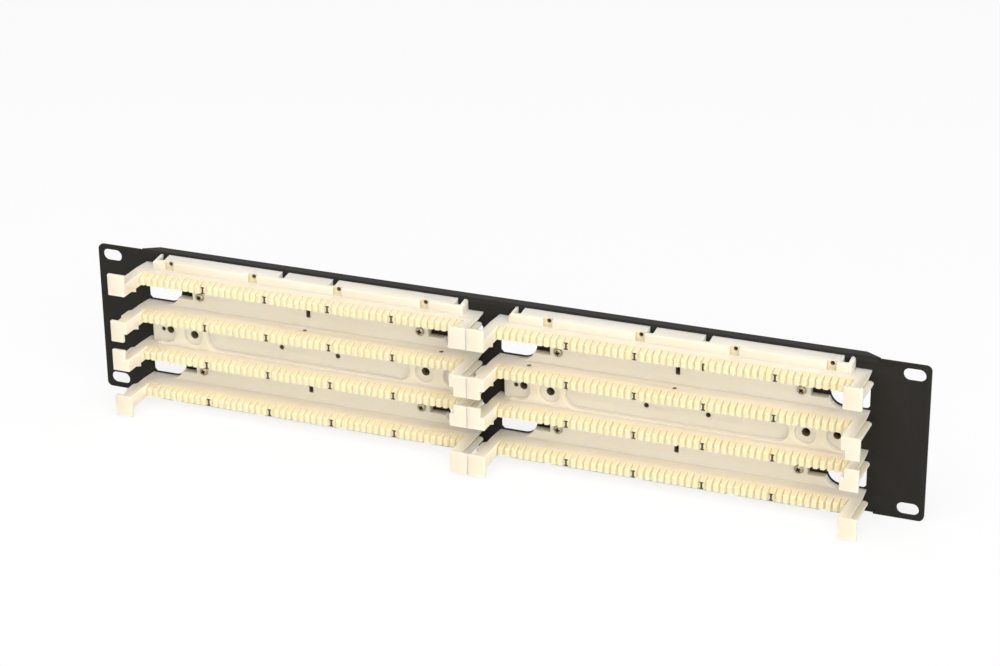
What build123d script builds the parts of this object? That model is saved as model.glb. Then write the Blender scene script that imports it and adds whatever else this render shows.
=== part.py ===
"""Rack-mounted punch-down wiring block: a folded steel panel that carries two moulded blocks.

Millimetres. X runs along the rack, Z is up and the front faces -Y. The rack rails are at Y = 0,
and the origin is the middle of the pattern of rack slots. A depth is measured forwards from the
front face of the panel, where the moulded blocks sit.
"""
import os

from build123d import *

# Rack panel: a standard width and two rack units high
PANEL_WIDTH = 482.6
PANEL_HEIGHT = 88.1
SHEET = 1.5
PANEL_CORNER = 3.0
BEND_INSIDE = 0.8
BEND_RELIEF = 0.2
EAR_WIDTH = 27.0
FLANGE_DEPTH = 7.6
FLANGE_TAPER = 8.7
RACK_SLOT_INSET = 8.75
RACK_SLOT_MARGIN = 5.95
RACK_SLOT_LENGTH = 12.0
RACK_SLOT_WIDTH = 6.8

# Rows of wire slots on a block, which is as high as the panel allows
BLOCK_MARGIN = 0.55
ROW_COUNT = 4
WIRE_PITCH = 3.81
WIRES_PER_ROW = 50
WIRE_SLOT_WIDTH = 0.7
WIRE_SLOT_MOUTH = 1.7
STRIP_THICKNESS = 7.1
STRIP_DEPTH = 20.0
TOOTH_TIP = 4.5
TOOTH_LENGTH = 5.5

# Moulded base of a block
FLOOR_DEPTH = 5.0
BASE_INSET = 1.15
RIM_DEPTH = 8.85
RIM_WIDTH = 5.9
RIM_DRAFT = 1.05
RIM_CORNER = 1.5
RIM_NOTCH_WIDTH = 3.8
RIM_NOTCH_DEPTH = 6.5
RIM_NOTCH_DROP = 4.0
RIM_NOTCH_INNER = 15.4
RIM_NOTCH_OUTER = 4.1
POCKET_COUNT = 4
POCKET_PITCH = 51.8
POCKET_SHIFT = 5.9
POCKET_WIDTH = 5.2
POCKET_RISE = 0.3
POCKET_DEPTH = 2.35
POCKET_HOLE = 2.4
POCKET_HOLE_DROP = 2.4

# Cable openings at both ends of the outer troughs
OPENING_REACH = 14.25
OPENING_END = 7.25
OPENING_STEP = 0.3
OPENING_CORNER = 1.5
KEYWAY_LENGTH = 9.0
KEYWAY_HEIGHT = 5.0

# Raised floor of the middle trough, with a long recess between fixing holes
RECESS_INSET = 32.75
RECESS_LIP = 0.5
FOOT_OVERHANG = 4.3
COUNTERBORE_INSET = 24.25
COUNTERBORE_LIP = 1.9
COUNTERBORE_DEPTH = 2.05
FIXING_HOLE = 4.8
END_RECESS_INSET = 6.35
END_RECESS_LIP = 0.8
END_HOLE = 4.3
END_HOLE_INSET = 8.05
PEG_HOLE = 2.4
PEG_HOLE_INSET = 3.65
MARK_HOLE = 2.8
MARK_HOLE_SPAN = 34.5
TIE_SLOT_WIDTH = 2.4
TIE_SLOT_HEIGHT = 4.2

# Wire-guide fingers at both ends of every row
FINGER_WIDTH = 6.15
FINGER_LENGTH = 36.5
PLATE_THICKNESS = 1.0
PLATE_OVERHANG = 0.9
ROOT_TAPER = 0.9
ROOT_LENGTH = 10.5
HEAD_THICKNESS = 2.0
HEAD_OVERHANG = 3.8
HEAD_REACH = 5.2
HEAD_STEP = 2.5
LEDGE_WIDTH = 3.2
LEDGE_DROP = 1.4
LEDGE_THICKNESS = 1.2
LEDGE_CORNER = 1.6
SHORT_LEDGE_START = 15.5
SHORT_LEDGE_LENGTH = 11.5
BARB_START = 23.0
BARB_LENGTH = 5.2
BARB_HEIGHT = 2.1
BLOCK_SEAM = 0.2

# Screws that hold the blocks to the panel
SCREW_INSET = 27.85
SCREW_HEAD = 5.0
SCREW_HEAD_HEIGHT = 1.4
SCREW_SHANK = 2.9
SCREW_LENGTH = 9.0
SCREW_THREAD_ROOM = 0.2
SCREW_CLEARANCE = 0.5

# Sides of a small round, few because there are so many of them
SMALL_ROUND_SIDES = 10

# Places that follow from the sizes above
strip_half = STRIP_THICKNESS / 2
panel_edge = PANEL_HEIGHT / 2
rim_top = panel_edge - BLOCK_MARGIN
row_pitch = 2 * (rim_top - RIM_WIDTH - strip_half) / (ROW_COUNT - 1)
rows = [((ROW_COUNT - 1) / 2 - index) * row_pitch for index in range(ROW_COUNT)]
troughs = [(upper + lower) / 2 for upper, lower in zip(rows, rows[1:])]
cable_troughs = [troughs[0], troughs[-1]]
trough_height = row_pitch - STRIP_THICKNESS
comb_half = WIRES_PER_ROW * WIRE_PITCH / 2
base_half = comb_half - BASE_INSET
slot_floor = STRIP_DEPTH - TOOTH_LENGTH
finger_in = comb_half + (WIRE_PITCH + WIRE_SLOT_WIDTH) / 2
finger_out = finger_in + FINGER_WIDTH
web_out = finger_out - PLATE_OVERHANG
head_back = FINGER_LENGTH - HEAD_THICKNESS
head_out = finger_out + HEAD_OVERHANG
block_pitch = 2 * head_out + BLOCK_SEAM
opening_start = comb_half - OPENING_REACH
opening_round = trough_height / 2
opening_end = comb_half + OPENING_END
screw_place = comb_half - SCREW_INSET
blocks = [-block_pitch / 2, block_pitch / 2]


def front(depth):
    """The plane across the front of the panel, so many millimetres forwards."""
    return Plane.XZ.offset(SHEET + depth)


def prism(sketch, start, end):
    """A sketch of X and Z carried forwards from one depth to another."""
    return extrude(front(start) * sketch, amount=end - start)


def rectangle(x_low, x_high, z_low, z_high):
    """A rectangle between two corners."""
    return Pos((x_low + x_high) / 2, (z_low + z_high) / 2) * Rectangle(x_high - x_low, z_high - z_low)


def small_round(width):
    """A small round hole or shank."""
    return RegularPolygon(width / 2, SMALL_ROUND_SIDES)


def plan(points, z_low, z_high):
    """An outline of X and depth raised between two heights."""
    outline = make_face(Polyline([(x, -SHEET - depth) for x, depth in points], close=True))
    return extrude(Pos(0, 0, z_low) * outline, amount=z_high - z_low)


def cable_opening(step):
    """Outline of a right-hand cable opening, round inside and square at its outer end."""
    radius = opening_round - step
    centre = opening_start + opening_round
    outer = rectangle(centre, opening_end, -radius, radius)
    return Pos(centre, 0) * Circle(radius) + chamfer(outer.vertices().group_by(Axis.X)[-1], OPENING_CORNER)


def both_ends(shape):
    """A right-hand shape together with its mirror image at the left end."""
    return [shape, mirror(shape, about=Plane.YZ)]


def rack_panel():
    """Folded sheet with rack slots, cable openings and screw holes."""
    sheet = RectangleRounded(PANEL_WIDTH, PANEL_HEIGHT, PANEL_CORNER)
    bend_line = panel_edge - BEND_INSIDE - SHEET
    relief_half = PANEL_WIDTH / 2 - EAR_WIDTH
    relief = rectangle(-relief_half, relief_half, bend_line, PANEL_HEIGHT)
    sheet -= [relief, Rot(0, 0, 180) * relief]
    rack_slot = SlotOverall(RACK_SLOT_LENGTH, RACK_SLOT_WIDTH)
    slot_span_x = PANEL_WIDTH - 2 * RACK_SLOT_INSET
    slot_span_z = PANEL_HEIGHT - 2 * RACK_SLOT_MARGIN
    sheet -= [place * rack_slot for place in GridLocations(slot_span_x, slot_span_z, 2, 2)]
    opening = cable_opening(OPENING_STEP)
    screw_hole = small_round(SCREW_SHANK + SCREW_THREAD_ROOM)
    for middle in blocks:
        for height in cable_troughs:
            sheet -= [Pos(middle, height) * Rot(0, 0, turn) * opening for turn in (0, 180)]
            sheet -= [Pos(middle + side * screw_place, height) * screw_hole for side in (-1, 1)]
    flange = folded_flange(bend_line, relief_half - BEND_RELIEF)
    return extrude(Plane.XZ * sheet, amount=SHEET) + flange + mirror(flange, about=Plane.XY)


def folded_flange(bend_line, half):
    """Stiffening flange along the upper edge, bent backwards and tapered at both ends."""
    rear = FLANGE_DEPTH - SHEET
    inner = panel_edge - SHEET
    section = Line((-SHEET, bend_line), (0, bend_line))
    section += CenterArc((BEND_INSIDE, bend_line), BEND_INSIDE, 180, -90)
    section += Polyline((BEND_INSIDE, inner), (rear, inner), (rear, panel_edge), (BEND_INSIDE, panel_edge))
    section += CenterArc((BEND_INSIDE, bend_line), BEND_INSIDE + SHEET, 90, 90)
    fold = extrude(Plane.YZ * make_face(section), amount=half, both=True)
    tip = half - FLANGE_TAPER
    side = [(half, -SHEET), (half, BEND_INSIDE), (tip, rear)]
    trim = make_face(Polyline(side + [(-x, y) for x, y in reversed(side)], close=True))
    return fold & extrude(trim, amount=PANEL_HEIGHT)


def section(points):
    """A closed outline of depth and height, on the plane across the block."""
    return Plane.YZ * make_face(Polyline([(-SHEET - depth, height) for depth, height in points], close=True))


def base():
    """Floor of a block with a drafted rim above the first row and below the last."""
    rim_low = rows[0] + strip_half
    profile = [(0, rim_top), (RIM_DEPTH, rim_top - RIM_DRAFT), (RIM_DEPTH, rim_low), (FLOOR_DEPTH, rim_low)]
    profile += [(depth, -height) for depth, height in reversed(profile)]
    floor = extrude(section(profile), amount=base_half, both=True)
    ends = floor.edges().group_by(Axis.X)
    corners = [end.sort_by(Axis.Z)[place] for end in (ends[0], ends[-1]) for place in (0, -1)]
    return fillet(corners, RIM_CORNER)


def index_strip():
    """One row: a wall with a tapered front, cut into a comb of teeth by slots that widen forwards."""
    profile = [(FLOOR_DEPTH, strip_half), (slot_floor, strip_half), (STRIP_DEPTH, TOOTH_TIP / 2)]
    profile += [(depth, -height) for depth, height in reversed(profile)]
    wall = extrude(section(profile), amount=finger_in, both=True)
    slot_side = [(WIRE_SLOT_WIDTH / 2, slot_floor), (WIRE_SLOT_MOUTH / 2, STRIP_DEPTH)]
    slot_side += [(-x, depth) for x, depth in reversed(slot_side)]
    slot = plan(slot_side, -strip_half, strip_half)
    return wall - [place * slot for place in GridLocations(WIRE_PITCH, WIRE_PITCH, WIRES_PER_ROW + 2, 1)]


def middle_floor():
    """Raised floor of the middle trough: a long round-ended recess, counterbores and open end recesses."""
    half = trough_height / 2
    recess_half = comb_half - RECESS_INSET
    floor = rectangle(-base_half, base_half, -half, half)
    floor -= SlotOverall(2 * recess_half, trough_height - 2 * RECESS_LIP)
    end_place = comb_half - END_RECESS_INSET
    end_half = half - END_RECESS_LIP
    end_recess = Pos(end_place, 0) * Circle(end_half) + rectangle(end_place, comb_half, -end_half, end_half)
    floor -= [end_recess, Rot(0, 0, 180) * end_recess]
    foot = base_half + FOOT_OVERHANG
    shape = prism(floor, FLOOR_DEPTH, RIM_DEPTH) + prism(rectangle(-foot, foot, -half, half), 0, FLOOR_DEPTH)
    counterbore = Circle(half - COUNTERBORE_LIP)
    places = [Pos(side * (comb_half - COUNTERBORE_INSET), 0) for side in (-1, 1)]
    return shape - [prism(place * counterbore, RIM_DEPTH - COUNTERBORE_DEPTH, RIM_DEPTH) for place in places]


def middle_holes():
    """Holes through the middle trough, in pairs about the middle of the block."""
    holes = Sketch()
    inset_holes = [(COUNTERBORE_INSET, FIXING_HOLE), (END_HOLE_INSET, END_HOLE), (PEG_HOLE_INSET, PEG_HOLE)]
    inset_holes.append((comb_half - MARK_HOLE_SPAN / 2, MARK_HOLE))
    for inset, width in inset_holes:
        holes += [Pos(side * (comb_half - inset), 0) * small_round(width) for side in (-1, 1)]
    return prism(holes, 0, RIM_DEPTH)


def floor_opening():
    """Right-hand cable opening in the floor of a trough, with the keyway on its inner side."""
    keyway_start = opening_start - KEYWAY_LENGTH
    keyway_half = KEYWAY_HEIGHT / 2
    keyway = rectangle(keyway_start, opening_start + opening_round, -keyway_half, keyway_half)
    return prism(cable_opening(0) + keyway, 0, FLOOR_DEPTH)


def rim_cuts(pocket_shift):
    """Notches in the back edge of the upper rim, and pockets with a hole that open at its front and top."""
    cuts = []
    notch = Rectangle(RIM_NOTCH_WIDTH, RIM_NOTCH_DROP)
    for place in (RIM_NOTCH_INNER, base_half - RIM_NOTCH_OUTER):
        for side in (-1, 1):
            cuts.append(prism(Pos(side * place, rim_top - RIM_NOTCH_DROP / 2) * notch, 0, RIM_NOTCH_DEPTH))
    pocket_low = rows[0] + strip_half + POCKET_RISE
    pocket = rectangle(-POCKET_WIDTH / 2, POCKET_WIDTH / 2, pocket_low, rim_top)
    pocket_floor = RIM_DEPTH - POCKET_DEPTH
    for index in range(POCKET_COUNT):
        place = Pos((index - (POCKET_COUNT - 1) / 2) * POCKET_PITCH + pocket_shift, 0)
        cuts.append(prism(place * pocket, pocket_floor, RIM_DEPTH))
        hole = place * Pos(0, rim_top - POCKET_HOLE_DROP) * small_round(POCKET_HOLE)
        cuts.append(prism(hole, 0, pocket_floor))
    return cuts


def trough_holes():
    """Screw holes and tie slots of the troughs that have cable openings."""
    holes = Sketch()
    screw_hole = small_round(SCREW_SHANK + SCREW_CLEARANCE)
    for height in cable_troughs:
        holes += Pos(0, height) * Rectangle(TIE_SLOT_WIDTH, TIE_SLOT_HEIGHT)
        holes += [Pos(side * screw_place, height) * screw_hole for side in (-1, 1)]
    return prism(holes, 0, FLOOR_DEPTH)


def head(index):
    """Front plate of a right-hand finger; it hooks up or down, away from the mouth of its trough."""
    hook = 1 if index % 2 == 0 else -1
    near_edge = rows[index] - hook * strip_half
    step_edge = rows[index] + hook * strip_half
    far_edge = step_edge + hook * HEAD_REACH
    plate = rectangle(finger_in, head_out, min(near_edge, far_edge), max(near_edge, far_edge))
    if 0 < index < ROW_COUNT - 1:
        step_in = finger_in + HEAD_STEP
        plate -= rectangle(finger_in, step_in, min(step_edge, far_edge), max(step_edge, far_edge))
    return prism(plate, head_back, FINGER_LENGTH)


def finger(index):
    """Right-hand wire-guide finger of one row: a web under a thin plate, with a head and a barb below."""
    top = rows[index] + strip_half
    bottom = rows[index] - strip_half
    inner_side = [(finger_in, head_back), (finger_in, slot_floor), (base_half, slot_floor), (base_half, 0)]
    plate = [(finger_out - ROOT_TAPER, 0), (finger_out, ROOT_LENGTH), (finger_out, head_back)]
    web = [(finger_in, 0), (finger_in, ROOT_LENGTH), (web_out, ROOT_LENGTH), (web_out, head_back)]
    shape = plan(inner_side + web, bottom, top) + head(index)
    shape += plan(inner_side + plate, top - PLATE_THICKNESS, top)
    if index < ROW_COUNT - 1:
        ramp = [(BARB_START, bottom), (BARB_START, bottom - BARB_HEIGHT), (BARB_START + BARB_LENGTH, bottom)]
        shape += Pos(finger_in, 0, 0) * extrude(section(ramp), amount=web_out - finger_in)
    return shape


def ledge(index, start, end):
    """Ledge on the outer side of a right-hand finger, a little below its top."""
    outer = finger_out + LEDGE_WIDTH
    points = [(web_out, start), (outer - LEDGE_CORNER, start), (outer, start + LEDGE_CORNER)]
    points += [(outer, end - LEDGE_CORNER), (outer - LEDGE_CORNER, end), (web_out, end)]
    top = rows[index] + strip_half - LEDGE_DROP
    return plan(points, top - LEDGE_THICKNESS, top)


def end_fingers():
    """All the fingers: long ledges on the right, and short ones on the left below the first row."""
    shapes = []
    for index in range(ROW_COUNT):
        shape = finger(index)
        shapes.append(shape + ledge(index, ROOT_LENGTH, head_back + LEDGE_CORNER))
        if index > 0:
            shape += ledge(index, SHORT_LEDGE_START, SHORT_LEDGE_START + SHORT_LEDGE_LENGTH)
        shapes.append(mirror(shape, about=Plane.YZ))
    return shapes


def wiring_block(pocket_shift):
    """One moulded block, at the middle of the panel."""
    strip = index_strip()
    block = base() + middle_floor() + [Pos(0, 0, height) * strip for height in rows]
    upper_cuts = rim_cuts(pocket_shift)
    cuts = upper_cuts + [mirror(cut, about=Plane.XY) for cut in upper_cuts] + [middle_holes(), trough_holes()]
    opening = floor_opening()
    for height in cable_troughs:
        cuts += [Pos(0, 0, height) * cut for cut in both_ends(opening)]
    return block - cuts + end_fingers()


def mounting_screw():
    """Pan-head screw at the middle of the panel; its thread is left plain."""
    screw_head = prism(small_round(SCREW_HEAD), FLOOR_DEPTH, FLOOR_DEPTH + SCREW_HEAD_HEIGHT)
    return screw_head + prism(small_round(SCREW_SHANK), FLOOR_DEPTH - SCREW_LENGTH, FLOOR_DEPTH)


def main():
    """Build every piece in place and write one file for each node."""
    screw = mounting_screw()
    places = [
        (middle + x_side * screw_place, height)
        for middle in blocks
        for x_side in (-1, 1)
        for height in cable_troughs
    ]
    nodes = {
        "rack_panel": rack_panel(),
        "wiring_block_left": Pos(blocks[0], 0, 0) * wiring_block(-POCKET_SHIFT),
        "wiring_block_right": Pos(blocks[1], 0, 0) * wiring_block(POCKET_SHIFT),
        "mounting_screws": Compound([Pos(x, 0, height) * screw for x, height in places]),
    }
    os.makedirs("parts", exist_ok=True)
    for name, shape in nodes.items():
        export_step(shape, f"parts/{name}.step")
        print(name, len(shape.solids()), "solids", round(shape.volume / 1000, 2), "cm3")


main()
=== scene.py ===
# %% [markdown]
# # A rack-mounted punch-down wiring block
#
# A folded black steel panel carries two ivory mouldings. Each moulding has four rows of teeth that
# hold wires, troughs between the rows, and fingers at the ends that lead the wires out.
# The solids come from CAD and fix every size. Blender adds what CAD leaves plain: soft moulded
# edges, the grain of the finishes, painted shade in narrow holes, pockets and screw recesses, two pin
# holes in each moulding, the cross recess of the screws and the print on the teeth.

# %% Load the frame
import math

import bmesh
import bpy
from mathutils import Matrix, Vector


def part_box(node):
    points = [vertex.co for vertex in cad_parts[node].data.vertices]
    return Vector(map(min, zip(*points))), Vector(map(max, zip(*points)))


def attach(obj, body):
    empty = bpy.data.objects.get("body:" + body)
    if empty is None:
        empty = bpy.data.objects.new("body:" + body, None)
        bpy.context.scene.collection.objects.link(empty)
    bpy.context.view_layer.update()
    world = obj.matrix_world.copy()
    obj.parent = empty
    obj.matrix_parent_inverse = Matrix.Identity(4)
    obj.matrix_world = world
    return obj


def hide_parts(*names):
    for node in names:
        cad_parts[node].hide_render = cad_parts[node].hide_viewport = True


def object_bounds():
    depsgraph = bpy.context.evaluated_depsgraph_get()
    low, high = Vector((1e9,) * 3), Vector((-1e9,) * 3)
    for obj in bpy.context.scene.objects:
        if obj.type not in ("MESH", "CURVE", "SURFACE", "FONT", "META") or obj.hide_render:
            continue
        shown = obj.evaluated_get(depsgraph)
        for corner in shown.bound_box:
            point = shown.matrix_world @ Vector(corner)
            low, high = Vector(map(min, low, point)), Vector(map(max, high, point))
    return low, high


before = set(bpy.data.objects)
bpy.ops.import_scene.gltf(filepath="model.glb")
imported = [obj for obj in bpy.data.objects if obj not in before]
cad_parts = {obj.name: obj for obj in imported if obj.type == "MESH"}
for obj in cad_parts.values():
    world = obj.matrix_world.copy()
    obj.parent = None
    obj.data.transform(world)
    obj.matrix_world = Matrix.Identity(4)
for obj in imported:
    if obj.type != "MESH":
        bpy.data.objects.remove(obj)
cad_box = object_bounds()
MM = 0.001
print("CAD box in mm:", [round(value / MM, 1) for corner in cad_box for value in corner])

# %% [markdown]
# ## Camera
#
# A photograph of a boxy object gives away its camera: the long edges of the panel lean by an amount
# that depends on the distance, and their directions give the angles. The place, the angles and the
# lens below come from matching the panel's corners, its rack slots and the rows of teeth.

# %% Camera
CAMERA_PLACE = Vector((522.29, -1262.52, 614.67)) * MM
CAMERA_AZIMUTH = 22.314
CAMERA_ELEVATION = 23.339
CAMERA_ROLL = -0.565
CAMERA_LENS = 99.14
SENSOR_WIDTH = 36.0
NEAREST = 0.01
FARTHEST = 50.0

camera_data = bpy.data.cameras.new("camera")
camera_data.lens = CAMERA_LENS
camera_data.sensor_width = SENSOR_WIDTH
camera_data.clip_start = NEAREST
camera_data.clip_end = FARTHEST
camera = bpy.data.objects.new("camera", camera_data)
bpy.context.scene.collection.objects.link(camera)
turn = Matrix.Rotation(math.radians(CAMERA_AZIMUTH), 4, "Z")
tilt = Matrix.Rotation(math.radians(90 - CAMERA_ELEVATION), 4, "X")
roll = Matrix.Rotation(math.radians(CAMERA_ROLL), 4, "Z")
camera.matrix_world = Matrix.Translation(CAMERA_PLACE) @ turn @ tilt @ roll
bpy.context.scene.camera = camera
print("camera", round(CAMERA_PLACE.length, 3), "m from the middle of the panel")

# %% [markdown]
# ## Floor, background and light
#
# The object stands on a seamless white sweep. The floor is a real surface, so it catches a soft
# shadow and throws light back up under the rows. To the camera and to reflections, both the world
# and most of the floor are a plain white of strength 1. To everything else the world is dimmer, so
# that the large lamps give the forms their shading.


# %% What the camera and reflections see
def seen_directly(tree):
    """A socket that is 1 for rays from the camera, a reflection or a clear material, and else 0."""
    rays = tree.nodes.new("ShaderNodeLightPath")
    direct = rays.outputs["Is Camera Ray"]
    for kind in ("Is Glossy Ray", "Is Transmission Ray"):
        either = tree.nodes.new("ShaderNodeMath")
        either.operation = "MAXIMUM"
        tree.links.new(direct, either.inputs[0])
        tree.links.new(rays.outputs[kind], either.inputs[1])
        direct = either.outputs[0]
    return direct


def between(tree, switch, low, high):
    """A socket that goes from a low to a high number as a switch goes from 0 to 1."""
    level = tree.nodes.new("ShaderNodeMapRange")
    level.inputs["To Min"].default_value = low
    level.inputs["To Max"].default_value = high
    tree.links.new(switch, level.inputs["Value"])
    return level.outputs["Result"]


print("ray helpers ready")

# %% Floor and backdrop
FLOOR_SIZE = 8.0
FLOOR_WHITE = (0.985, 0.985, 0.985, 1)
FLOOR_GLOW = 0.82
FLOOR_ROUGHNESS = 0.9
FLOOR_SPECULAR = 0.1

floor_mesh = bpy.data.meshes.new("floor")
floor_form = bmesh.new()
bmesh.ops.create_grid(floor_form, x_segments=1, y_segments=1, size=FLOOR_SIZE / 2)
floor_form.to_mesh(floor_mesh)
floor_form.free()
floor = bpy.data.objects.new("floor", floor_mesh)
floor.location.z = cad_box[0].z
bpy.context.scene.collection.objects.link(floor)

floor_finish = bpy.data.materials.new("white_sweep")
floor_finish.use_nodes = True
floor_shader = floor_finish.node_tree.nodes["Principled BSDF"]
floor_shader.inputs["Base Color"].default_value = FLOOR_WHITE
floor_shader.inputs["Roughness"].default_value = FLOOR_ROUGHNESS
floor_shader.inputs["Specular IOR Level"].default_value = FLOOR_SPECULAR
sweep = floor_finish.node_tree
glow = sweep.nodes.new("ShaderNodeEmission")
whitened = sweep.nodes.new("ShaderNodeMixShader")
sweep.links.new(between(sweep, seen_directly(sweep), 0.0, FLOOR_GLOW), whitened.inputs["Fac"])
sweep.links.new(floor_shader.outputs["BSDF"], whitened.inputs[1])
sweep.links.new(glow.outputs["Emission"], whitened.inputs[2])
sweep.links.new(whitened.outputs["Shader"], sweep.nodes["Material Output"].inputs["Surface"])
floor_mesh.materials.append(floor_finish)
print("floor at", round(floor.location.z / MM, 2), "mm")

# %% World
WORLD_LIGHT = 0.44

world = bpy.data.worlds.new("studio")
bpy.context.scene.world = world
world.use_nodes = True
sky = world.node_tree
background = sky.nodes["Background"]
background.inputs["Color"].default_value = (1, 1, 1, 1)
strength = between(sky, seen_directly(sky), WORLD_LIGHT, 1.0)
sky.links.new(strength, background.inputs["Strength"])
bpy.context.scene.view_settings.view_transform = "Standard"
print("world light", WORLD_LIGHT)


# %% Lamps
LAMPS = {
    "overhead": {"place": (-0.1, -0.7, 1.5), "size": 1.4, "watts": 12},
    "key": {"place": (3.47, -3.86, 3.0), "size": 3.0, "watts": 131},
    "front_fill": {"place": (0.2, -2.86, 0.83), "size": 1.2, "watts": 14},
    "right_fill": {"place": (2.7, -0.72, 0.78), "size": 1.2, "watts": 12},
}


def soft_lamp(name, place, size, watts):
    """A large square lamp that shines at the middle of the panel."""
    data = bpy.data.lights.new(name, "AREA")
    data.size = size
    data.energy = watts
    lamp = bpy.data.objects.new(name, data)
    lamp.location = place
    lamp.rotation_euler = (-Vector(place)).to_track_quat("-Z", "Y").to_euler()
    bpy.context.scene.collection.objects.link(lamp)


for lamp_name, lamp_values in LAMPS.items():
    soft_lamp(lamp_name, **lamp_values)
print("lamps", list(LAMPS))

# %% [markdown]
# ## Effects that several finishes share
#
# Moulded plastic, powder coat and zinc all have a fine skin that breaks up their highlights, and all
# vary a little in tone from place to place. Each effect is one shader node group. A group gives
# values that change over the surface, and every material places it with its own scale.


# %% Node helpers
def add_node(tree, kind, **values):
    """A new node with its plain settings or unlinked sockets set."""
    node = tree.nodes.new(kind)
    for name, value in values.items():
        if hasattr(node, name):
            setattr(node, name, value)
        else:
            node.inputs[name.replace("_", " ").title()].default_value = value
    return node


def new_group(name, inputs, outputs):
    """An empty shader node group with float inputs and outputs, and its two end nodes."""
    group = bpy.data.node_groups.new(name, "ShaderNodeTree")
    for socket, value in inputs.items():
        made = group.interface.new_socket(socket, in_out="INPUT", socket_type="NodeSocketFloat")
        made.default_value = value
    for socket in outputs:
        group.interface.new_socket(socket, in_out="OUTPUT", socket_type="NodeSocketFloat")
    return group, group.nodes.new("NodeGroupInput"), group.nodes.new("NodeGroupOutput")


def place_group(tree, group, **values):
    """A group placed in a material with its own values."""
    node = tree.nodes.new("ShaderNodeGroup")
    node.node_tree = group
    for name, value in values.items():
        node.inputs[name.replace("_", " ")].default_value = value
    return node


print("node helpers ready")

# %% Fine grain
COARSE_SCALE = 0.2


def make_grain():
    """Skin of a finish: a fine height for bump, and a mask of the same grain for roughness."""
    inputs = {"Per metre": 900.0, "Coarse share": 0.35}
    group, start, end = new_group("fine_grain", inputs, ["Height", "Mask"])
    place = add_node(group, "ShaderNodeTexCoord")
    fine = add_node(group, "ShaderNodeTexNoise", detail=3.0, roughness=0.6)
    coarse_scale = add_node(group, "ShaderNodeMath", operation="MULTIPLY")
    coarse_scale.inputs[1].default_value = COARSE_SCALE
    coarse = add_node(group, "ShaderNodeTexNoise", detail=1.0, roughness=0.5)
    blend = add_node(group, "ShaderNodeMix", data_type="FLOAT")
    group.links.new(place.outputs["Object"], fine.inputs["Vector"])
    group.links.new(place.outputs["Object"], coarse.inputs["Vector"])
    group.links.new(start.outputs["Per metre"], fine.inputs["Scale"])
    group.links.new(start.outputs["Per metre"], coarse_scale.inputs[0])
    group.links.new(coarse_scale.outputs[0], coarse.inputs["Scale"])
    group.links.new(start.outputs["Coarse share"], blend.inputs["Factor"])
    group.links.new(fine.outputs["Fac"], blend.inputs[2])
    group.links.new(coarse.outputs["Fac"], blend.inputs[3])
    group.links.new(blend.outputs[0], end.inputs["Height"])
    group.links.new(fine.outputs["Fac"], end.inputs["Mask"])
    return group


fine_grain = make_grain()
print("group", fine_grain.name, [socket.name for socket in fine_grain.interface.items_tree])

# %% Slow change of tone
NOISE_MIDDLE = 0.5


def make_tone():
    """Slow clouding over the surface, as from uneven moulding, coating or handling."""
    group, start, end = new_group("slow_tone", {"Per metre": 25.0, "Contrast": 0.5}, ["Tone"])
    place = add_node(group, "ShaderNodeTexCoord")
    cloud = add_node(group, "ShaderNodeTexNoise", detail=4.0, roughness=0.55)
    centred = add_node(group, "ShaderNodeMath", operation="SUBTRACT")
    centred.inputs[1].default_value = NOISE_MIDDLE
    spread = add_node(group, "ShaderNodeMath", operation="MULTIPLY_ADD", use_clamp=True)
    spread.inputs[2].default_value = NOISE_MIDDLE
    group.links.new(place.outputs["Object"], cloud.inputs["Vector"])
    group.links.new(start.outputs["Per metre"], cloud.inputs["Scale"])
    group.links.new(cloud.outputs["Fac"], centred.inputs[0])
    group.links.new(centred.outputs[0], spread.inputs[0])
    group.links.new(start.outputs["Contrast"], spread.inputs[1])
    group.links.new(spread.outputs[0], end.inputs["Tone"])
    return group


slow_tone = make_tone()
print("group", slow_tone.name, [socket.name for socket in slow_tone.interface.items_tree])

# %% Start of a finish
GRAIN_RELIEF = 0.2 * MM


def srgb(red, green, blue):
    """A colour as seen on a screen, from 0 to 255, as the linear values that Blender mixes."""
    parts = [value / 255 for value in (red, green, blue)]
    linear = [part / 12.92 if part <= 0.04045 else ((part + 0.055) / 1.055) ** 2.4 for part in parts]
    return (*linear, 1)


def new_finish(name):
    """A material with its node tree and its main shader."""
    finish = bpy.data.materials.new(name)
    finish.use_nodes = True
    return finish, finish.node_tree, finish.node_tree.nodes["Principled BSDF"]


def grain_and_bump(tree, shader, per_metre, coarse_share, bump, roughness):
    """Gives a shader its fine bump, and roughness that follows the grain from low to high."""
    grain = place_group(tree, fine_grain, Per_metre=per_metre, Coarse_share=coarse_share)
    relief = add_node(tree, "ShaderNodeBump", distance=GRAIN_RELIEF, strength=bump)
    polish = add_node(tree, "ShaderNodeMapRange", to_min=roughness[0], to_max=roughness[1])
    tree.links.new(grain.outputs["Height"], relief.inputs["Height"])
    tree.links.new(relief.outputs["Normal"], shader.inputs["Normal"])
    tree.links.new(grain.outputs["Mask"], polish.inputs["Value"])
    tree.links.new(polish.outputs["Result"], shader.inputs["Roughness"])


print("finish helpers ready")

# %% Masks and tones
# A Mix node has sockets for each kind of value. These are the numbers of those for colours.
MIX_COLOURS = (6, 7)
MIX_RESULT = 2


def ranged(tree, value, low, high):
    """A socket that rises from 0 to 1 as a value goes from a low to a high number."""
    node = add_node(tree, "ShaderNodeMapRange")
    node.inputs["From Min"].default_value = low
    node.inputs["From Max"].default_value = high
    tree.links.new(value, node.inputs["Value"])
    return node.outputs["Result"]


def combined(tree, operation, first, second):
    """A socket with the result of a sum on two sockets."""
    node = add_node(tree, "ShaderNodeMath", operation=operation)
    tree.links.new(first, node.inputs[0])
    tree.links.new(second, node.inputs[1])
    return node.outputs[0]


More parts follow.
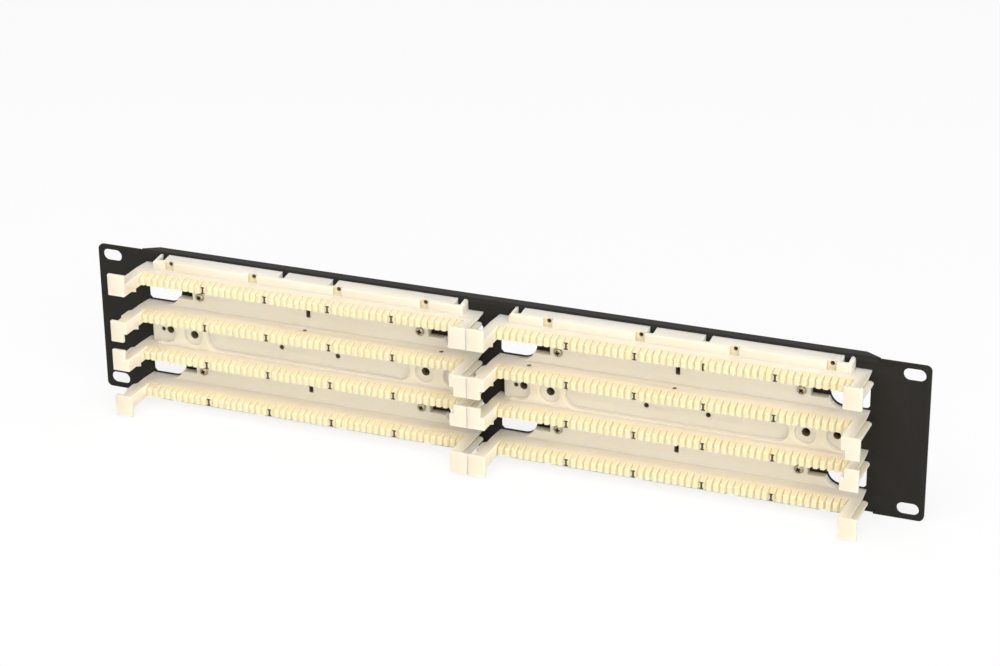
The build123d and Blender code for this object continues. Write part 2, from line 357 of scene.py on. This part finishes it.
def toned(tree, mask, below, above, blend_type="MIX"):
    """A colour socket that goes from one colour to another along a mask."""
    node = add_node(tree, "ShaderNodeMix", data_type="RGBA", blend_type=blend_type)
    tree.links.new(mask, node.inputs["Factor"])
    for socket, colour in zip(MIX_COLOURS, (below, above)):
        if isinstance(colour, tuple):
            node.inputs[socket].default_value = colour
        else:
            tree.links.new(colour, node.inputs[socket])
    return node.outputs[MIX_RESULT]


def clouded(tree, shader, below, above, per_metre, contrast):
    """Gives a shader a colour that drifts slowly between two tones."""
    cloud = place_group(tree, slow_tone, Per_metre=per_metre, Contrast=contrast)
    tree.links.new(toned(tree, cloud.outputs["Tone"], below, above), shader.inputs["Base Color"])


print("mask helpers ready")

# %% [markdown]
# ## Ivory plastic
#
# The blocks are moulded in an ivory plastic that lets light in, so much of its colour comes from
# below the surface. Thin teeth look more yellow than the thick floors, because light that comes out
# of them has passed through more plastic. The depth of a point in front of the panel tells teeth
# from floors, and its place along the block tells teeth from fingers, so the two together mask the
# cream tone of the comb. The same depth gives painted light and shade: the trough floors are painted
# lighter and less yellow against the shade between the rows, and the heads a little darker. The
# walls between the teeth are painted lighter still, as painted light in the shaded slots, and slow
# clouds keep the tone from being flat. Narrow holes and small pockets get darker finishes of their
# own, which are painted shade.

# %% Ivory tones and levels
# Painted light: the trough floors get a lighter, less yellow ivory against the shade between the rows.
FLOOR_PAINTED_LIGHT = srgb(236, 231, 219)
FRONT_IVORY = srgb(236, 229, 213)
# Painted shade: the heads, which catch the most lamp light, get a slightly darker ivory.
HEAD_PAINTED_SHADE = srgb(235, 226, 210)
TOOTH_CREAM = srgb(236, 222, 188)
# Painted light: a lighter tone for the walls between the teeth, against the shade in the narrow slots.
SLOT_PAINTED_LIGHT = srgb(250, 241, 216)
CLOUDED_IVORY = srgb(251, 247, 240)
# Painted shade: darker ivory for the walls of narrow holes.
HOLE_SHADE_DARKER = srgb(118, 98, 68)
HOLE_SHADE_LIGHTER = srgb(158, 136, 102)
# Painted shade: a milder darkening for the small pockets round the upper rim holes.
POCKET_SHADE_DARKER = srgb(206, 194, 160)
POCKET_SHADE_LIGHTER = srgb(234, 224, 194)
# Levels are distances forward from the back face of the panel.
FLOOR_LEVEL = 7.5 * MM
RIM_LEVEL = 10.5 * MM
TOOTH_ROOT = 14.5 * MM
TOOTH_TIP = 21.5 * MM
HEAD_LEVEL = 34.0 * MM
TONE_FADE = 2.0 * MM
COMB_START = 0.046
COMB_FADE = 0.002
WALL_LEAN = (0.85, 0.95)
SCATTER_RADIUS = (1.0, 0.9, 0.7)
SCATTER_SCALE = 3.0 * MM
print("cream tone from", TOOTH_ROOT / MM, "to", TOOTH_TIP / MM, "mm")


# %% Ivory plastic
def comb_mask(tree, place, depth):
    """1 on the teeth of a row, and 0 on floors, rims, fingers and heads."""
    along = add_node(tree, "ShaderNodeSeparateXYZ")
    tree.links.new(place.outputs["Generated"], along.inputs["Vector"])
    from_left = ranged(tree, along.outputs["X"], COMB_START - COMB_FADE, COMB_START)
    from_right = ranged(tree, along.outputs["X"], 1 + COMB_FADE - COMB_START, 1 - COMB_START)
    comb = combined(tree, "MULTIPLY", from_left, from_right)
    rising = ranged(tree, depth, -TOOTH_ROOT, -TOOTH_ROOT - TONE_FADE)
    falling = ranged(tree, depth, -TOOTH_TIP - TONE_FADE, -TOOTH_TIP - TONE_FADE / 2)
    return combined(tree, "MULTIPLY", comb, combined(tree, "MULTIPLY", rising, falling))


def make_ivory():
    """Moulded plastic: ivory, creamier teeth, satin skin; painted light on floors and slot walls,
    painted shade on heads.
    """
    finish, tree, shader = new_finish("ivory_plastic")
    place = add_node(tree, "ShaderNodeTexCoord")
    axes = add_node(tree, "ShaderNodeSeparateXYZ")
    tree.links.new(place.outputs["Object"], axes.inputs["Vector"])
    depth = axes.outputs["Y"]
    teeth = comb_mask(tree, place, depth)
    leaning = add_node(tree, "ShaderNodeSeparateXYZ")
    tree.links.new(place.outputs["Normal"], leaning.inputs["Vector"])
    sideways = add_node(tree, "ShaderNodeMath", operation="ABSOLUTE")
    tree.links.new(leaning.outputs["X"], sideways.inputs[0])
    # Painted light: the slot walls get a lighter colour, standing in for light that the slots don't get.
    walls = combined(tree, "MULTIPLY", teeth, ranged(tree, sideways.outputs[0], *WALL_LEAN))
    # Painted light and shade by depth: the trough floors are painted lighter and the heads darker than
    # the fronts.
    heads = ranged(tree, depth, -HEAD_LEVEL, -HEAD_LEVEL - TONE_FADE)
    front = toned(tree, heads, FRONT_IVORY, HEAD_PAINTED_SHADE)
    ivory = toned(tree, ranged(tree, depth, -FLOOR_LEVEL, -RIM_LEVEL), FLOOR_PAINTED_LIGHT, front)
    cream = toned(tree, teeth, ivory, TOOTH_CREAM)
    painted_slot_light = toned(tree, walls, cream, SLOT_PAINTED_LIGHT)
    cloud = place_group(tree, slow_tone, Per_metre=30.0, Contrast=0.9)
    drifting = toned(tree, cloud.outputs["Tone"], painted_slot_light, CLOUDED_IVORY, blend_type="MULTIPLY")
    tree.links.new(drifting, shader.inputs["Base Color"])
    grain_and_bump(tree, shader, per_metre=2200.0, coarse_share=0.3, bump=0.12, roughness=(0.42, 0.55))
    shader.inputs["Subsurface Weight"].default_value = 1.0
    shader.inputs["Subsurface Radius"].default_value = SCATTER_RADIUS
    shader.inputs["Subsurface Scale"].default_value = SCATTER_SCALE
    shader.inputs["Specular IOR Level"].default_value = 0.3
    return finish


ivory_plastic = make_ivory()
print("finish", ivory_plastic.name, len(ivory_plastic.node_tree.nodes), "nodes")


# %% Ivory with painted shade for holes and pockets
def make_shaded_ivory(name, dust, ivory):
    """The same plastic inside a hole or pocket, made darker as painted shade, since little light comes
    back from there.
    """
    finish, tree, shader = new_finish(name)
    clouded(tree, shader, dust, ivory, per_metre=200.0, contrast=0.9)
    grain_and_bump(tree, shader, per_metre=2200.0, coarse_share=0.3, bump=0.12, roughness=(0.6, 0.75))
    shader.inputs["Specular IOR Level"].default_value = 0.1
    return finish


hole_painted_shade = make_shaded_ivory("hole_painted_shade", HOLE_SHADE_DARKER, HOLE_SHADE_LIGHTER)
pocket_painted_shade = make_shaded_ivory("pocket_painted_shade", POCKET_SHADE_DARKER, POCKET_SHADE_LIGHTER)
print("finishes", hole_painted_shade.name, pocket_painted_shade.name)

# %% [markdown]
# ## Black powder coat
#
# The panel is steel with a baked powder coat. Powder melts into a skin like fine orange peel, so the
# black is never mirror smooth: it shows a soft sheen that breaks up into small specks.

# %% Black powder coat
COAT_DARK = srgb(38, 36, 33)
COAT_PALE = srgb(46, 44, 40)


def make_powder_coat():
    """Satin black coat with a fine orange-peel skin."""
    finish, tree, shader = new_finish("black_powder_coat")
    clouded(tree, shader, COAT_DARK, COAT_PALE, per_metre=18.0, contrast=0.8)
    grain_and_bump(tree, shader, per_metre=1500.0, coarse_share=0.5, bump=0.35, roughness=(0.5, 0.66))
    shader.inputs["Specular IOR Level"].default_value = 0.07
    return finish


black_powder_coat = make_powder_coat()
print("finish", black_powder_coat.name, len(black_powder_coat.node_tree.nodes), "nodes")

# %% [markdown]
# ## Zinc plate and printing ink
#
# The screws are plated: a bright grey metal with a faint warm cast that is smoother in some places
# than in others. The bottom of each recess gets a dark finish, which is painted shade. The ink of the
# row marks is thin and rests on the plastic, so it is a matt near-black that lets the grain through.

# %% Zinc plate and ink
ZINC_DULL = srgb(140, 132, 115)
ZINC_BRIGHT = srgb(200, 190, 168)
# Painted shade: dark tones for the bottom of the screws' cross recesses.
RECESS_SHADE_DARKER = srgb(40, 34, 24)
RECESS_SHADE_LIGHTER = srgb(66, 58, 44)
INK_DARK = srgb(42, 35, 20)
INK_PALE = srgb(62, 54, 34)


def make_zinc():
    """Plated steel with uneven polish."""
    finish, tree, shader = new_finish("zinc_plate")
    clouded(tree, shader, ZINC_DULL, ZINC_BRIGHT, per_metre=400.0, contrast=1.2)
    grain_and_bump(tree, shader, per_metre=5000.0, coarse_share=0.3, bump=0.2, roughness=(0.24, 0.42))
    shader.inputs["Metallic"].default_value = 1.0
    return finish


def make_recess_shade():
    """Painted shade: a dark finish for the bottom of a screw's cross recess."""
    finish, tree, shader = new_finish("recess_painted_shade")
    clouded(tree, shader, RECESS_SHADE_DARKER, RECESS_SHADE_LIGHTER, per_metre=900.0, contrast=1.0)
    grain_and_bump(tree, shader, per_metre=5000.0, coarse_share=0.3, bump=0.2, roughness=(0.55, 0.7))
    shader.inputs["Specular IOR Level"].default_value = 0.2
    return finish


def make_ink():
    """Thin black print, a little uneven."""
    finish, tree, shader = new_finish("printing_ink")
    clouded(tree, shader, INK_DARK, INK_PALE, per_metre=900.0, contrast=1.0)
    grain_and_bump(tree, shader, per_metre=2200.0, coarse_share=0.3, bump=0.1, roughness=(0.5, 0.65))
    return finish


zinc_plate = make_zinc()
recess_painted_shade = make_recess_shade()
printing_ink = make_ink()
print("finishes", zinc_plate.name, recess_painted_shade.name, printing_ink.name)

# %% [markdown]
# ## Pin holes
#
# Two small round holes go down into the top of each block's second row. The CAD solids leave them
# out, so thin rods cut them here, with a boolean modifier that is applied at once. The cut walls take
# the material of the rods, which is the painted shade of a narrow hole.


# %% Cutting one mesh out of another
def cut_away(mesh, tool):
    """A mesh with a tool cut out of it; the cut faces take the material of the tool."""
    body = bpy.data.objects.new("cut_body", mesh)
    cutter = bpy.data.objects.new("cutter", tool)
    for item in (body, cutter):
        bpy.context.scene.collection.objects.link(item)
    cut = body.modifiers.new("cut", "BOOLEAN")
    cut.object = cutter
    cut.use_self = True
    cut.material_mode = "TRANSFER"
    made = bpy.data.meshes.new_from_object(body.evaluated_get(bpy.context.evaluated_depsgraph_get()))
    for item in (body, cutter):
        bpy.data.objects.remove(item)
    return made


print("cutting helper ready")

# %% Pin holes
BLOCKS = ("wiring_block_left", "wiring_block_right")
BLOCK_MIDDLES = [sum(corner.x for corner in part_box(node)) / 2 for node in BLOCKS]
PIN_WIDTH = 2.5 * MM
PIN_DEPTH = 2.0 * MM
PIN_SIDES = 10
PIN_FORWARD = 11.5 * MM
SECOND_ROW_TOP = 14.9 * MM
PIN_PLACE = 82.0 * MM


def pin_rods(middle, places):
    """Rods that cut the pin holes of one block."""
    form = bmesh.new()
    for place in places:
        centre = Matrix.Translation((middle + place, -PIN_FORWARD, SECOND_ROW_TOP))
        size = {"radius1": PIN_WIDTH / 2, "radius2": PIN_WIDTH / 2, "depth": 2 * PIN_DEPTH}
        bmesh.ops.create_cone(form, cap_ends=True, segments=PIN_SIDES, matrix=centre, **size)
    mesh = bpy.data.meshes.new("pin_rods")
    form.to_mesh(mesh)
    form.free()
    mesh.materials.append(hole_painted_shade)
    return mesh


left_rods = pin_rods(BLOCK_MIDDLES[0], (0, PIN_PLACE))
right_rods = pin_rods(BLOCK_MIDDLES[1], (-PIN_PLACE, 0))
print("rods:", len(left_rods.polygons), len(right_rods.polygons), "faces")

# %% [markdown]
# ## Mouldings and panel with soft edges
#
# No moulded or folded edge is perfectly sharp, and it is the thin bright line along an edge that
# makes a render look solid. A copy of each CAD solid is cleaned of the extra lines that facets
# bring, and a bevel modifier then rounds its sharp edges. The copy stands for the CAD node and keeps
# its size, because a bevel only takes material away. Before that, the copy's narrow holes are found
# by their walls: walls that run straight back and close in a ring have normals that add up to nothing.

# %% Holes and pockets that get painted shade
NARROW = 5.0 * MM
POCKET = 8.0 * MM
UPPER_RIM = 36.0 * MM
STRAIGHT_BACK = 0.02
CLOSED = 0.01
FACING_FRONT = -0.9
HOLE_SHADE_INDEX = 1
POCKET_SHADE_INDEX = 2


def breadth(faces):
    """The larger of the width and the height that some faces span."""
    corners = [vert.co for face in faces for vert in face.verts]
    width = max(corner.x for corner in corners) - min(corner.x for corner in corners)
    height = max(corner.z for corner in corners) - min(corner.z for corner in corners)
    return max(width, height)


def touching(faces):
    """All faces that share an edge with some faces."""
    return {other for face in faces for edge in face.edges for other in edge.link_faces}


def closed_rings(form):
    """Groups of walls that run straight back and close round a hole."""
    upright = {face for face in form.faces if abs(face.normal.y) < STRAIGHT_BACK}
    rings = []
    while upright:
        ring = [upright.pop()]
        for face in ring:
            nearby = touching([face]) & upright
            upright -= nearby
            ring.extend(nearby)
        facing = sum((face.normal * face.calc_area() for face in ring), Vector())
        if facing.length < CLOSED * sum(face.calc_area() for face in ring):
            rings.append(ring)
    return rings


def mark_shaded_faces(form):
    """Gives narrow holes one finish of painted shade, and the pockets round the holes of the upper rim
    another, lighter one.
    """
    for ring in closed_rings(form):
        if breadth(ring) > NARROW:
            continue
        # Painted shade: the pockets round the upper rim holes get the lighter shade finish.
        if ring[0].calc_center_median().z > UPPER_RIM:
            floors = [face for face in touching(ring) if face.normal.y < FACING_FRONT]
            for face in touching(floors):
                face.material_index = POCKET_SHADE_INDEX if breadth([face]) < POCKET else 0
        # Painted shade: the hole walls get the darker shade finish.
        for face in ring:
            face.material_index = HOLE_SHADE_INDEX


print("holes up to", NARROW / MM, "mm and pockets up to", POCKET / MM, "mm gather dust")

# %% Softened copies
MOULD_ROUND = 0.22 * MM
SHEET_ROUND = 0.18 * MM
ROUND_SEGMENTS = 2
ROUND_FROM = math.radians(30)
SAME_POINT = 0.002 * MM
SAME_PLANE = math.radians(0.5)


def softened(node, name, width, finishes, slot_name, rods=None):
    """A copy of a CAD node with rounded edges, which stands for the node."""
    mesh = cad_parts[node].data.copy()
    mesh.materials.clear()
    for finish in finishes:
        mesh.materials.append(finish)
    form = bmesh.new()
    form.from_mesh(mesh)
    bmesh.ops.remove_doubles(form, verts=form.verts, dist=SAME_POINT)
    bmesh.ops.dissolve_limit(form, angle_limit=SAME_PLANE, verts=form.verts, edges=form.edges)
    if len(finishes) > 1:
        mark_shaded_faces(form)
    form.to_mesh(mesh)
    form.free()
    if rods:
        mesh = cut_away(mesh, rods)
    mesh.name = name
    piece = bpy.data.objects.new(name, mesh)
    bpy.context.scene.collection.objects.link(piece)
    bevel = piece.modifiers.new("soft_edges", "BEVEL")
    bevel.width = width
    bevel.segments = ROUND_SEGMENTS
    bevel.limit_method = "ANGLE"
    bevel.angle_limit = ROUND_FROM
    bevel.use_clamp_overlap = True
    bevel.harden_normals = True
    for polygon in mesh.polygons:
        polygon.use_smooth = True
    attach(piece, "root")
    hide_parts(node)
    shaded_faces = sum(polygon.material_index > 0 for polygon in mesh.polygons)
    print(name, len(mesh.polygons), "faces before the bevel,", shaded_faces, "in holes and pockets")


moulded = {"finishes": [ivory_plastic, hole_painted_shade, pocket_painted_shade], "slot_name": "ivory_plastic"}
softened("wiring_block_left", "left_wiring_block", MOULD_ROUND, rods=left_rods, **moulded)
softened("wiring_block_right", "right_wiring_block", MOULD_ROUND, rods=right_rods, **moulded)
softened("rack_panel", "folded_panel", SHEET_ROUND, [black_powder_coat], "black_powder_coat")

# %% [markdown]
# ## Screws with a cross recess
#
# Eight plated pan-head screws hold the blocks to the panel. A head is a turned form, so its half
# outline is spun round the axis. The cross recess is cut by two crossed wedges that get narrower
# with depth, as the tip of a screwdriver does. Each screw stops at an angle of its own.

# %% Screw places and sizes
SCREW_SIDE = 67.4 * MM
CABLE_TROUGH = 22.7 * MM
SCREW_SEAT = -6.5 * MM
HEAD_OUTLINE = [(2.5, 0.0), (2.5, 0.35), (2.36, 0.78), (1.95, 1.14), (1.3, 1.34), (0.6, 1.4), (0.0, 1.4)]
SHANK_OUTLINE = [(0.0, -9.0), (1.2, -9.0), (1.45, -8.6), (1.45, 0.0)]
RECESS_LENGTH = 3.9 * MM
RECESS_WIDTH = 1.25 * MM
RECESS_DEPTH = 1.2 * MM
DEEP_LENGTH_SHARE = 0.45
DEEP_WIDTH_SHARE = 0.6
TURNING_STEPS = 40
FIRST_STOP = 40
NEXT_STOP = 37
SHARP_FROM = math.radians(35)
SAME_TURNED_POINT = 0.001 * MM
SAME_CUT_POINT = 0.004 * MM
print("block middles in mm:", [round(middle / MM, 2) for middle in BLOCK_MIDDLES])


# %% Turned screw and the wedges of its recess
def turned_screw():
    """Mesh of a pan-head screw along Z, with its seat at zero."""
    form = bmesh.new()
    half = SHANK_OUTLINE + HEAD_OUTLINE
    outline = [form.verts.new((radius * MM, 0, height * MM)) for radius, height in half]
    edges = [form.edges.new(pair) for pair in zip(outline, outline[1:])]
    axis = {"axis": (0, 0, 1), "cent": (0, 0, 0)}
    bmesh.ops.spin(form, geom=outline + edges, steps=TURNING_STEPS, angle=math.tau, **axis)
    bmesh.ops.remove_doubles(form, verts=form.verts, dist=SAME_TURNED_POINT)
    bmesh.ops.recalc_face_normals(form, faces=form.faces)
    mesh = bpy.data.meshes.new("turned_screw")
    form.to_mesh(mesh)
    form.free()
    return mesh


def recess_wedges():
    """Mesh of two crossed wedges that stand in the top of the head."""
    form = bmesh.new()
    top = HEAD_OUTLINE[-1][1] * MM
    for angle in (0, 90):
        wedge = bmesh.ops.create_cube(form, size=1.0)["verts"]
        for vert in wedge:
            deep = vert.co.z < 0
            vert.co.x *= RECESS_LENGTH * (DEEP_LENGTH_SHARE if deep else 1.0)
            vert.co.y *= RECESS_WIDTH * (DEEP_WIDTH_SHARE if deep else 1.0)
            vert.co.z = top - RECESS_DEPTH if deep else top + RECESS_DEPTH
        bmesh.ops.rotate(form, verts=wedge, matrix=Matrix.Rotation(math.radians(angle), 3, "Z"))
    mesh = bpy.data.meshes.new("recess_wedges")
    form.to_mesh(mesh)
    form.free()
    return mesh


print("a screw is turned in", TURNING_STEPS, "steps")


# %% One piece of eight screws
def cut_screw():
    """The turned screw with its recess cut out."""
    body = turned_screw()
    body.materials.append(zinc_plate)
    wedges = recess_wedges()
    wedges.materials.append(recess_painted_shade)
    return cut_away(body, wedges)


def screw_set():
    """All eight screws as one piece, each turned to an angle of its own."""
    single = cut_screw()
    columns = [[middle - SCREW_SIDE, middle + SCREW_SIDE] for middle in BLOCK_MIDDLES]
    rows = (CABLE_TROUGH, -CABLE_TROUGH)
    seats = [(along, height) for pair in columns for height in rows for along in pair]
    form = bmesh.new()
    for number, (along, height) in enumerate(seats):
        place = Matrix.Translation((along, SCREW_SEAT, height))
        facing = Matrix.Rotation(math.radians(90), 4, "X")
        stop = Matrix.Rotation(math.radians(FIRST_STOP + NEXT_STOP * number), 4, "Z")
        before = len(form.verts)
        form.from_mesh(single)
        form.verts.ensure_lookup_table()
        bmesh.ops.transform(form, matrix=place @ facing @ stop, verts=form.verts[before:])
    bmesh.ops.remove_doubles(form, verts=form.verts, dist=SAME_CUT_POINT)
    bmesh.ops.dissolve_degenerate(form, edges=form.edges, dist=SAME_CUT_POINT)
    mesh = bpy.data.meshes.new("zinc_screws")
    form.to_mesh(mesh)
    form.free()
    for finish in single.materials:
        mesh.materials.append(finish)
    mesh.shade_smooth()
    mesh.set_sharp_from_angle(angle=SHARP_FROM)
    piece = bpy.data.objects.new("zinc_screws", mesh)
    bpy.context.scene.collection.objects.link(piece)
    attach(piece, "root")
    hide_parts("mounting_screws")
    return piece


screws = screw_set()
recess_faces = sum(polygon.material_index > 0 for polygon in screws.data.polygons)
print("screws:", len(screws.data.polygons), "faces,", recess_faces, "in the recesses")

# %% [markdown]
# ## Printed row marks
#
# Every tenth tooth carries a short printed bar with serifs, so that a pair can be found by counting.
# Ink is a thin film, and here it is a film as well: an outline drawn on the front of the tooth, with
# just enough height to stay clear of the plastic. On one tooth the print slipped, and only its left
# half took.

# %% Row marks
ROW_HEIGHTS = [34.05 * MM, 11.35 * MM, -11.35 * MM, -34.05 * MM]
MARK_PLACES = [-57.15 * MM, -19.05 * MM, 19.05 * MM, 57.15 * MM]
TOOTH_FRONT = -21.5 * MM
INK_HEIGHT = 0.03 * MM
MARK_HALF_HEIGHT = 2.1 * MM
SERIF_HALF_WIDTH = 1.1 * MM
SERIF_HEIGHT = 0.75 * MM
STEM_HALF_WIDTH = 0.52 * MM
SLIPPED_SERIF = 0.25 * MM
SLIPPED_STEM = -0.15 * MM


def mark_outline(slipped):
    """Corners of a bar with serifs; a slipped print has only its left half."""
    left = -SERIF_HALF_WIDTH
    right = SLIPPED_SERIF if slipped else SERIF_HALF_WIDTH
    stem_left = left if slipped else -STEM_HALF_WIDTH
    stem_right = SLIPPED_STEM if slipped else STEM_HALF_WIDTH
    inner = MARK_HALF_HEIGHT - SERIF_HEIGHT
    upper = [(stem_right, inner), (right, inner), (right, MARK_HALF_HEIGHT)]
    upper += [(left, MARK_HALF_HEIGHT), (left, inner), (stem_left, inner)]
    upper = list(dict.fromkeys(upper))
    return upper + [(x, -z) for x, z in reversed(upper)]


def row_marks(name, middle, slipped_place):
    """The printed marks of one block as one thin film."""
    form = bmesh.new()
    for height in ROW_HEIGHTS:
        for place in MARK_PLACES:
            outline = mark_outline((place, height) == slipped_place)
            corners = [form.verts.new((middle + place + x, TOOTH_FRONT, height + z)) for x, z in outline]
            film = form.faces.new(corners)
            raised = bmesh.ops.extrude_face_region(form, geom=[film])["geom"]
            moved = [item for item in raised if isinstance(item, bmesh.types.BMVert)]
            bmesh.ops.translate(form, verts=moved, vec=(0, -INK_HEIGHT, 0))
    bmesh.ops.recalc_face_normals(form, faces=form.faces)
    mesh = bpy.data.meshes.new(name)
    form.to_mesh(mesh)
    form.free()
    mesh.materials.append(printing_ink)
    piece = bpy.data.objects.new(name, mesh)
    bpy.context.scene.collection.objects.link(piece)
    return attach(piece, "root")


left_marks = row_marks("left_row_marks", BLOCK_MIDDLES[0], None)
right_marks = row_marks("right_row_marks", BLOCK_MIDDLES[1], (MARK_PLACES[2], ROW_HEIGHTS[0]))
print("marks:", len(left_marks.data.polygons), len(right_marks.data.polygons), "faces")
